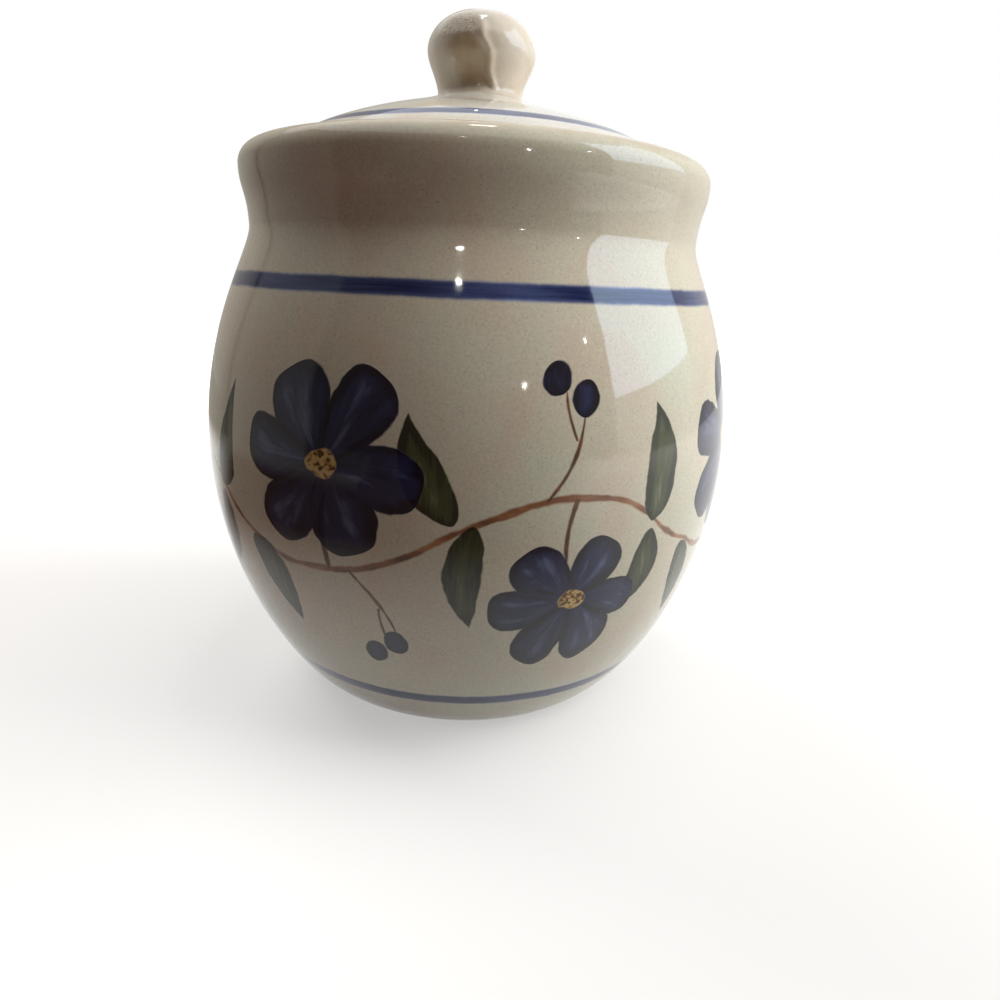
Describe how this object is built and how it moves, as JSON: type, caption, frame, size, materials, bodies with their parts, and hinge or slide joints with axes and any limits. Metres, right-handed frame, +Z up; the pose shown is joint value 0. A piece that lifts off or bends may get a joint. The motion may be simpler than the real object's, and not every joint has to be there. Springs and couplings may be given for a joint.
{
  "type": "jam pot",
  "caption": "Small round-bellied lidded pot in glazed stoneware, with a rolled rim, a shallow domed lid that lifts off and a ball knob.",
  "frame": {"origin": "bottom centre of the foot, on the surface that the pot stands on", "axes": "+Z up along the axis of the pot and lid, +Y away from the viewer of the picture, +X to the viewer's right"},
  "size_m": [0.094, 0.094, 0.1152],
  "materials": {
    "pot_glaze": "gloss glaze",
    "lid_glaze": "gloss glaze",
    "knob_glaze": "gloss glaze"
  },
  "bodies": {
    "pot_body": {"pot": "pot_glaze"},
    "lid_body": {"lid": "lid_glaze", "knob": "knob_glaze"}
  },
  "joints": [
    {"name": "lid_lift", "type": "slide", "parent": "pot_body", "child": "lid_body", "axis": [0, 0, 1], "range_m": [0, 0.06]}
  ]
}
